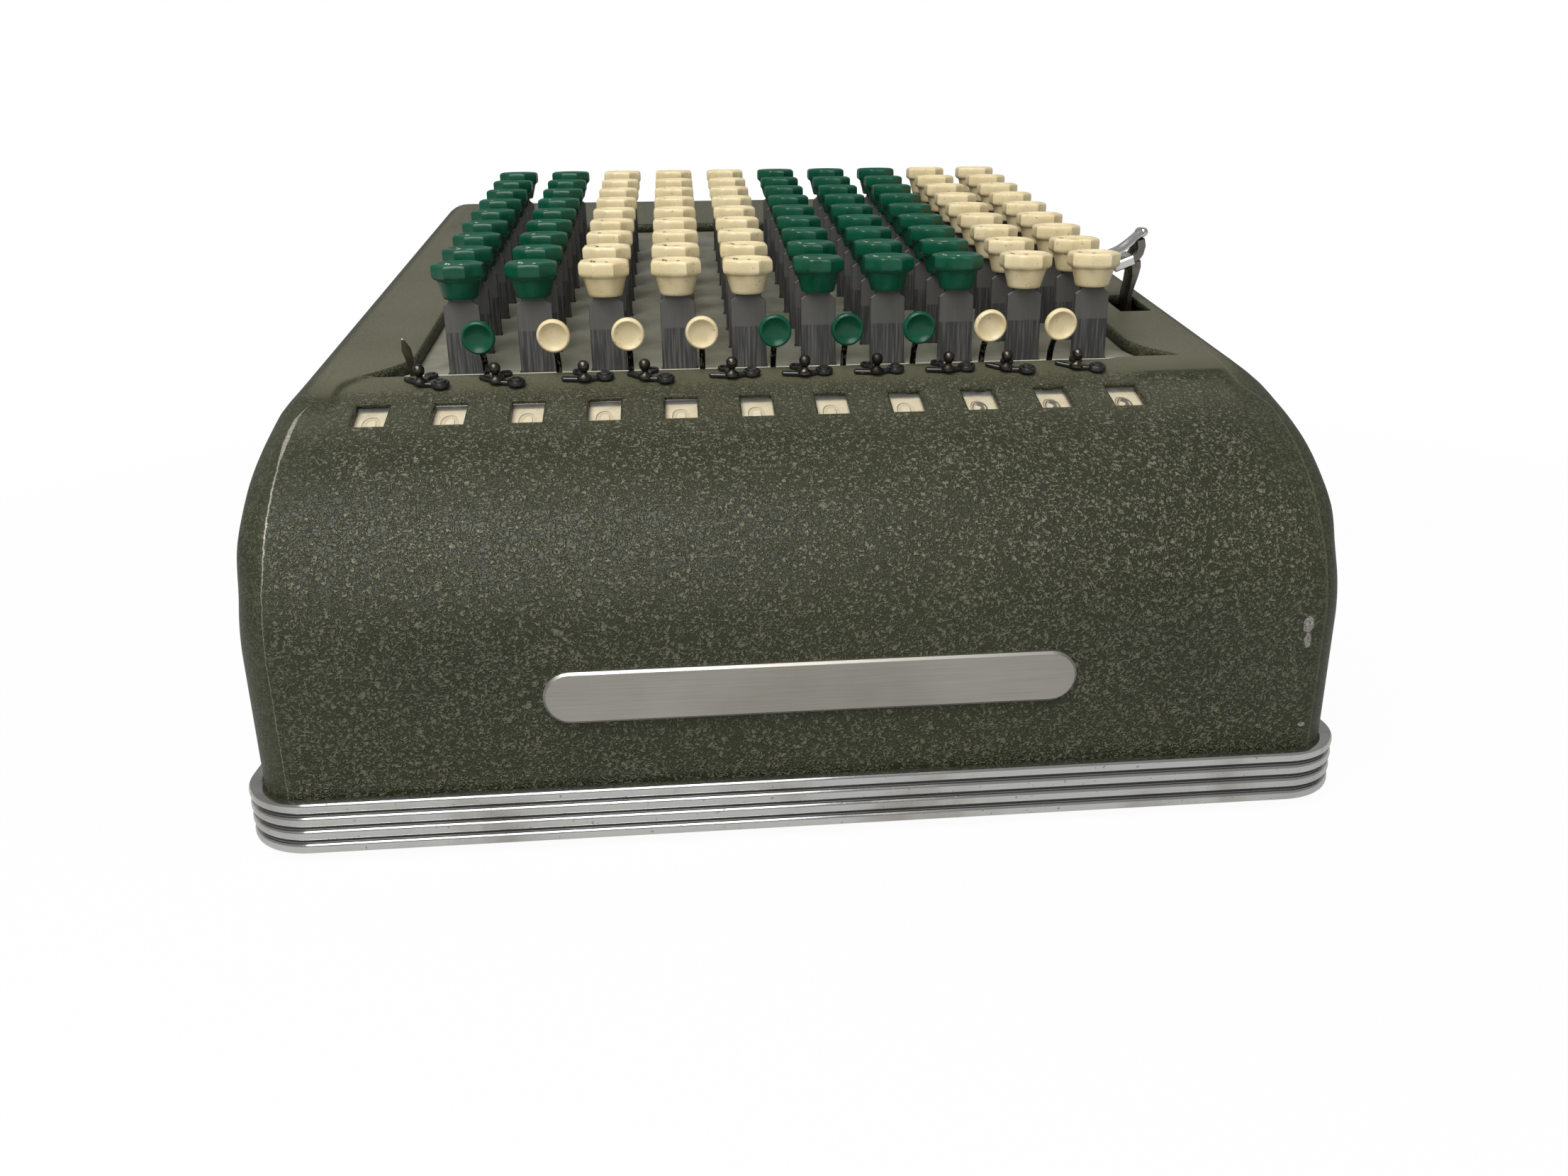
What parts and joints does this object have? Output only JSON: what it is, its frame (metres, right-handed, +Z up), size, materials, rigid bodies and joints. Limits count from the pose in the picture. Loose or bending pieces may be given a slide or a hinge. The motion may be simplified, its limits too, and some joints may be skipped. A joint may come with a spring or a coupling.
{
  "type": "key-driven calculator",
  "caption": "Desk adding machine with a sloped keyboard of two-tone keys on flat stems, numeral windows, decimal pointers, carry cut-off tabs and a clearing lever in a round-fronted casing.",
  "frame": {"origin": "middle of the footprint at the height of the table, under the feet", "axes": "+X to the operator's right, +Y away from the operator, +Z up"},
  "size_m": [0.266, 0.33, 0.1551],
  "materials": {
    "casing_paint": "olive-green crinkle paint, smooth on the shoulders",
    "trim_chrome": "plated, polished, ribbed",
    "pan_paint": "dull black",
    "foot_rubber": "matt",
    "screw_steel": "bare steel",
    "frame_steel": "bare steel, oiled",
    "plate_steel": "grey, dull",
    "spring_steel": "bright wire",
    "window_glass": "clear strip",
    "lever_chrome": "plated, polished",
    "green_plastic": "moulded, semi-gloss, on steel stems",
    "cream_plastic": "moulded, semi-gloss, on steel stems",
    "pointer_black": "blackened",
    "wheel_ivory": "ivory with engraved numerals"
  },
  "bodies": {
    "machine": {"casing": "casing_paint", "base_trim": "trim_chrome", "base_pan": "pan_paint", "rubber_feet": "foot_rubber", "casing_screws": "screw_steel", "left_side_frame": "frame_steel", "right_side_frame": "frame_steel", "tie_rods": "frame_steel", "key_top_plate": "plate_steel", "key_lower_guide": "plate_steel", "key_springs": "spring_steel", "lever_shaft": "frame_steel", "numeral_shaft": "frame_steel", "window_glass": "window_glass", "cutoff_pivot_rod": "frame_steel", "clear_pivot_shaft": "frame_steel"},
    "clear_lever": {"clear_lever": "lever_chrome"},
    "key_column_01": {"key_column_01": "green_plastic"},
    "key_column_02": {"key_column_02": "green_plastic"},
    "key_column_03": {"key_column_03": "cream_plastic"},
    "key_column_04": {"key_column_04": "cream_plastic"},
    "key_column_05": {"key_column_05": "cream_plastic"},
    "key_column_06": {"key_column_06": "green_plastic"},
    "key_column_07": {"key_column_07": "green_plastic"},
    "key_column_08": {"key_column_08": "green_plastic"},
    "key_column_09": {"key_column_09": "cream_plastic"},
    "key_column_10": {"key_column_10": "cream_plastic"},
    "cutoff_tab_01": {"cutoff_tab_01": "screw_steel"},
    "cutoff_tab_02": {"cutoff_tab_02": "green_plastic"},
    "cutoff_tab_03": {"cutoff_tab_03": "cream_plastic"},
    "cutoff_tab_04": {"cutoff_tab_04": "cream_plastic"},
    "cutoff_tab_05": {"cutoff_tab_05": "cream_plastic"},
    "cutoff_tab_06": {"cutoff_tab_06": "green_plastic"},
    "cutoff_tab_07": {"cutoff_tab_07": "green_plastic"},
    "cutoff_tab_08": {"cutoff_tab_08": "green_plastic"},
    "cutoff_tab_09": {"cutoff_tab_09": "cream_plastic"},
    "cutoff_tab_10": {"cutoff_tab_10": "cream_plastic"},
    "decimal_pointer_01": {"decimal_pointer_01": "pointer_black"},
    "decimal_pointer_02": {"decimal_pointer_02": "pointer_black"},
    "decimal_pointer_03": {"decimal_pointer_03": "pointer_black"},
    "decimal_pointer_04": {"decimal_pointer_04": "pointer_black"},
    "decimal_pointer_05": {"decimal_pointer_05": "pointer_black"},
    "decimal_pointer_06": {"decimal_pointer_06": "pointer_black"},
    "decimal_pointer_07": {"decimal_pointer_07": "pointer_black"},
    "decimal_pointer_08": {"decimal_pointer_08": "pointer_black"},
    "decimal_pointer_09": {"decimal_pointer_09": "pointer_black"},
    "decimal_pointer_10": {"decimal_pointer_10": "pointer_black"},
    "numeral_wheel_01": {"numeral_wheel_01": "wheel_ivory"},
    "numeral_wheel_02": {"numeral_wheel_02": "wheel_ivory"},
    "numeral_wheel_03": {"numeral_wheel_03": "wheel_ivory"},
    "numeral_wheel_04": {"numeral_wheel_04": "wheel_ivory"},
    "numeral_wheel_05": {"numeral_wheel_05": "wheel_ivory"},
    "numeral_wheel_06": {"numeral_wheel_06": "wheel_ivory"},
    "numeral_wheel_07": {"numeral_wheel_07": "wheel_ivory"},
    "numeral_wheel_08": {"numeral_wheel_08": "wheel_ivory"},
    "numeral_wheel_09": {"numeral_wheel_09": "wheel_ivory"},
    "numeral_wheel_10": {"numeral_wheel_10": "wheel_ivory"},
    "numeral_wheel_11": {"numeral_wheel_11": "wheel_ivory"},
    "column_levers": {"column_levers": "plate_steel"}
  },
  "joints": [
    {"name": "clear_swing", "type": "hinge", "parent": "machine", "child": "clear_lever", "pos_m": [0.115, -0.02678, 0.05766], "axis": [1, 0, 0], "range_deg": [0, 10], "stiffness_Nm_per_rad": 0.06, "springref_deg": -17.19},
    {"name": "key_press_01", "type": "slide", "parent": "machine", "child": "key_column_01", "axis": [0, 0, 1], "range_m": [-0.008, 0], "stiffness_N_per_m": 200, "springref_m": 0.006, "deforming": ["key_springs"]},
    {"name": "key_press_02", "type": "slide", "parent": "machine", "child": "key_column_02", "axis": [0, 0, 1], "range_m": [-0.008, 0], "stiffness_N_per_m": 200, "springref_m": 0.006, "deforming": ["key_springs"]},
    {"name": "key_press_03", "type": "slide", "parent": "machine", "child": "key_column_03", "axis": [0, 0, 1], "range_m": [-0.008, 0], "stiffness_N_per_m": 200, "springref_m": 0.006, "deforming": ["key_springs"]},
    {"name": "key_press_04", "type": "slide", "parent": "machine", "child": "key_column_04", "axis": [0, 0, 1], "range_m": [-0.008, 0], "stiffness_N_per_m": 200, "springref_m": 0.006, "deforming": ["key_springs"]},
    {"name": "key_press_05", "type": "slide", "parent": "machine", "child": "key_column_05", "axis": [0, 0, 1], "range_m": [-0.008, 0], "stiffness_N_per_m": 200, "springref_m": 0.006, "deforming": ["key_springs"]},
    {"name": "key_press_06", "type": "slide", "parent": "machine", "child": "key_column_06", "axis": [0, 0, 1], "range_m": [-0.008, 0], "stiffness_N_per_m": 200, "springref_m": 0.006, "deforming": ["key_springs"]},
    {"name": "key_press_07", "type": "slide", "parent": "machine", "child": "key_column_07", "axis": [0, 0, 1], "range_m": [-0.008, 0], "stiffness_N_per_m": 200, "springref_m": 0.006, "deforming": ["key_springs"]},
    {"name": "key_press_08", "type": "slide", "parent": "machine", "child": "key_column_08", "axis": [0, 0, 1], "range_m": [-0.008, 0], "stiffness_N_per_m": 200, "springref_m": 0.006, "deforming": ["key_springs"]},
    {"name": "key_press_09", "type": "slide", "parent": "machine", "child": "key_column_09", "axis": [0, 0, 1], "range_m": [-0.008, 0], "stiffness_N_per_m": 200, "springref_m": 0.006, "deforming": ["key_springs"]},
    {"name": "key_press_10", "type": "slide", "parent": "machine", "child": "key_column_10", "axis": [0, 0, 1], "range_m": [-0.008, 0], "stiffness_N_per_m": 200, "springref_m": 0.006, "deforming": ["key_springs"]},
    {"name": "cutoff_pull_01", "type": "hinge", "parent": "machine", "child": "cutoff_tab_01", "pos_m": [-0.09773, -0.08888, 0.09138], "axis": [1, 0, 0], "range_deg": [0, 7]},
    {"name": "cutoff_pull_02", "type": "hinge", "parent": "machine", "child": "cutoff_tab_02", "pos_m": [-0.07867, -0.08888, 0.09138], "axis": [1, 0, 0], "range_deg": [0, 7]},
    {"name": "cutoff_pull_03", "type": "hinge", "parent": "machine", "child": "cutoff_tab_03", "pos_m": [-0.05962, -0.08888, 0.09138], "axis": [1, 0, 0], "range_deg": [0, 7]},
    {"name": "cutoff_pull_04", "type": "hinge", "parent": "machine", "child": "cutoff_tab_04", "pos_m": [-0.04057, -0.08888, 0.09138], "axis": [1, 0, 0], "range_deg": [0, 7]},
    {"name": "cutoff_pull_05", "type": "hinge", "parent": "machine", "child": "cutoff_tab_05", "pos_m": [-0.02152, -0.08888, 0.09138], "axis": [1, 0, 0], "range_deg": [0, 7]},
    {"name": "cutoff_pull_06", "type": "hinge", "parent": "machine", "child": "cutoff_tab_06", "pos_m": [-0.00248, -0.08888, 0.09138], "axis": [1, 0, 0], "range_deg": [0, 7]},
    {"name": "cutoff_pull_07", "type": "hinge", "parent": "machine", "child": "cutoff_tab_07", "pos_m": [0.01657, -0.08888, 0.09138], "axis": [1, 0, 0], "range_deg": [0, 7]},
    {"name": "cutoff_pull_08", "type": "hinge", "parent": "machine", "child": "cutoff_tab_08", "pos_m": [0.03562, -0.08888, 0.09138], "axis": [1, 0, 0], "range_deg": [0, 7]},
    {"name": "cutoff_pull_09", "type": "hinge", "parent": "machine", "child": "cutoff_tab_09", "pos_m": [0.05468, -0.08888, 0.09138], "axis": [1, 0, 0], "range_deg": [0, 7]},
    {"name": "cutoff_pull_10", "type": "hinge", "parent": "machine", "child": "cutoff_tab_10", "pos_m": [0.07372, -0.08888, 0.09138], "axis": [1, 0, 0], "range_deg": [0, 7]},
    {"name": "pointer_turn_01", "type": "hinge", "parent": "machine", "child": "decimal_pointer_01", "pos_m": [-0.09202, -0.0957, 0.10072], "axis": [0, -0.1963, 0.9806], "range_deg": [0, 32]},
    {"name": "pointer_turn_02", "type": "hinge", "parent": "machine", "child": "decimal_pointer_02", "pos_m": [-0.07297, -0.0957, 0.10072], "axis": [0, -0.1963, 0.9806], "range_deg": [0, 32]},
    {"name": "pointer_turn_03", "type": "hinge", "parent": "machine", "child": "decimal_pointer_03", "pos_m": [-0.05393, -0.0957, 0.10072], "axis": [0, -0.1963, 0.9806], "range_deg": [-32, 0]},
    {"name": "pointer_turn_04", "type": "hinge", "parent": "machine", "child": "decimal_pointer_04", "pos_m": [-0.03488, -0.0957, 0.10072], "axis": [0, -0.1963, 0.9806], "range_deg": [0, 32]},
    {"name": "pointer_turn_05", "type": "hinge", "parent": "machine", "child": "decimal_pointer_05", "pos_m": [-0.01582, -0.0957, 0.10072], "axis": [0, -0.1963, 0.9806], "range_deg": [-32, 0]},
    {"name": "pointer_turn_06", "type": "hinge", "parent": "machine", "child": "decimal_pointer_06", "pos_m": [0.00323, -0.0957, 0.10072], "axis": [0, -0.1963, 0.9806], "range_deg": [-32, 0]},
    {"name": "pointer_turn_07", "type": "hinge", "parent": "machine", "child": "decimal_pointer_07", "pos_m": [0.02227, -0.0957, 0.10072], "axis": [0, -0.1963, 0.9806], "range_deg": [-32, 0]},
    {"name": "pointer_turn_08", "type": "hinge", "parent": "machine", "child": "decimal_pointer_08", "pos_m": [0.04133, -0.0957, 0.10072], "axis": [0, -0.1963, 0.9806], "range_deg": [-32, 0]},
    {"name": "pointer_turn_09", "type": "hinge", "parent": "machine", "child": "decimal_pointer_09", "pos_m": [0.06037, -0.0957, 0.10072], "axis": [0, -0.1963, 0.9806], "range_deg": [0, 32]},
    {"name": "pointer_turn_10", "type": "hinge", "parent": "machine", "child": "decimal_pointer_10", "pos_m": [0.07942, -0.0957, 0.10072], "axis": [0, -0.1963, 0.9806], "range_deg": [0, 32]},
    {"name": "wheel_turn_01", "type": "hinge", "parent": "machine", "child": "numeral_wheel_01", "pos_m": [-0.10378, -0.10582, 0.07472], "axis": [1, 0, 0], "continuous": true},
    {"name": "wheel_turn_02", "type": "hinge", "parent": "machine", "child": "numeral_wheel_02", "pos_m": [-0.08472, -0.10582, 0.07472], "axis": [1, 0, 0], "continuous": true},
    {"name": "wheel_turn_03", "type": "hinge", "parent": "machine", "child": "numeral_wheel_03", "pos_m": [-0.06567, -0.10582, 0.07472], "axis": [1, 0, 0], "continuous": true},
    {"name": "wheel_turn_04", "type": "hinge", "parent": "machine", "child": "numeral_wheel_04", "pos_m": [-0.04662, -0.10582, 0.07472], "axis": [1, 0, 0], "continuous": true},
    {"name": "wheel_turn_05", "type": "hinge", "parent": "machine", "child": "numeral_wheel_05", "pos_m": [-0.02757, -0.10582, 0.07472], "axis": [1, 0, 0], "continuous": true},
    {"name": "wheel_turn_06", "type": "hinge", "parent": "machine", "child": "numeral_wheel_06", "pos_m": [-0.00852, -0.10582, 0.07472], "axis": [1, 0, 0], "continuous": true},
    {"name": "wheel_turn_07", "type": "hinge", "parent": "machine", "child": "numeral_wheel_07", "pos_m": [0.01052, -0.10582, 0.07472], "axis": [1, 0, 0], "continuous": true},
    {"name": "wheel_turn_08", "type": "hinge", "parent": "machine", "child": "numeral_wheel_08", "pos_m": [0.02958, -0.10582, 0.07472], "axis": [1, 0, 0], "continuous": true},
    {"name": "wheel_turn_09", "type": "hinge", "parent": "machine", "child": "numeral_wheel_09", "pos_m": [0.04863, -0.10582, 0.07472], "axis": [1, 0, 0], "continuous": true},
    {"name": "wheel_turn_10", "type": "hinge", "parent": "machine", "child": "numeral_wheel_10", "pos_m": [0.06767, -0.10582, 0.07472], "axis": [1, 0, 0], "continuous": true},
    {"name": "wheel_turn_11", "type": "hinge", "parent": "machine", "child": "numeral_wheel_11", "pos_m": [0.08672, -0.10582, 0.07472], "axis": [1, 0, 0], "continuous": true},
    {"name": "column_lever_push", "type": "hinge", "parent": "machine", "child": "column_levers", "pos_m": [0.001, 0.118, 0.056], "axis": [1, 0, 0], "range_deg": [0, 3], "stiffness_Nm_per_rad": 1, "springref_deg": -28.65}
  ]
}
